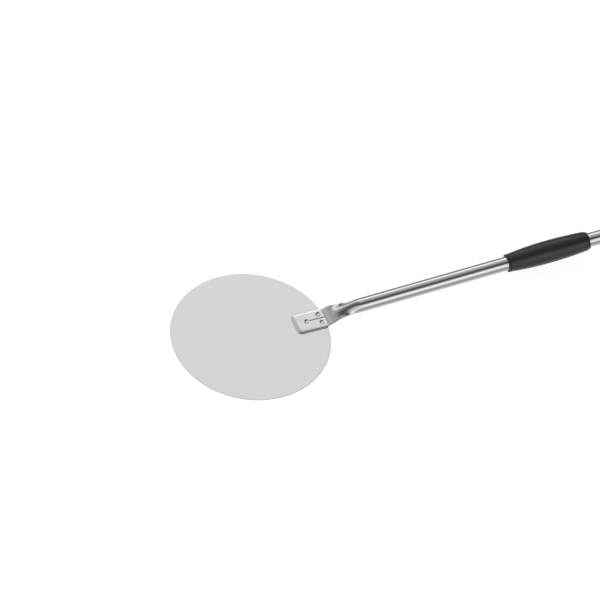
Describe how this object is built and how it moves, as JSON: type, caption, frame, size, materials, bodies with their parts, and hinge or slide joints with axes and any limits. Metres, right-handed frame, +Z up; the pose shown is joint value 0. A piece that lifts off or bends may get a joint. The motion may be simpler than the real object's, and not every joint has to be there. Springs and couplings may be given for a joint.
{
  "type": "pizza peel",
  "caption": "Small round stainless pizza peel for turning pizzas: riveted blade, long tube handle, sliding and turning hand sleeve, end grip with hanging eye.",
  "frame": {"origin": "centre of the round blade's underside, which is the plane the peel slides on", "axes": "+X from the blade's centre towards the handle, +Z up on the side that carries the food, +Y to the left of a person who looks along +X"},
  "size_m": [1.3985, 0.2, 0.0796],
  "materials": {
    "blade_steel": "satin",
    "tube_steel": "polished stainless steel",
    "rivet_steel": "bright",
    "grip_polymer": "finely grained matte",
    "ring_polymer": "smooth matte"
  },
  "bodies": {
    "handle": {"blade": "blade_steel", "handle_tube": "tube_steel", "rivet_front": "rivet_steel", "rivet_left": "rivet_steel", "rivet_right": "rivet_steel", "end_grip": "grip_polymer", "cross_rivet": "rivet_steel"},
    "grip_carrier": {"grip_ring_front": "ring_polymer", "grip_ring_rear": "ring_polymer"},
    "sleeve": {"sliding_grip": "grip_polymer"}
  },
  "joints": [
    {"name": "grip_slide", "type": "slide", "parent": "handle", "child": "grip_carrier", "axis": [0.9987, 0, 0.0506], "range_m": [-0.192, 0.695]},
    {"name": "grip_spin", "type": "hinge", "parent": "grip_carrier", "child": "sleeve", "pos_m": [0.39762, 0, 0.02181], "axis": [0.9987, 0, 0.0506], "continuous": true}
  ]
}
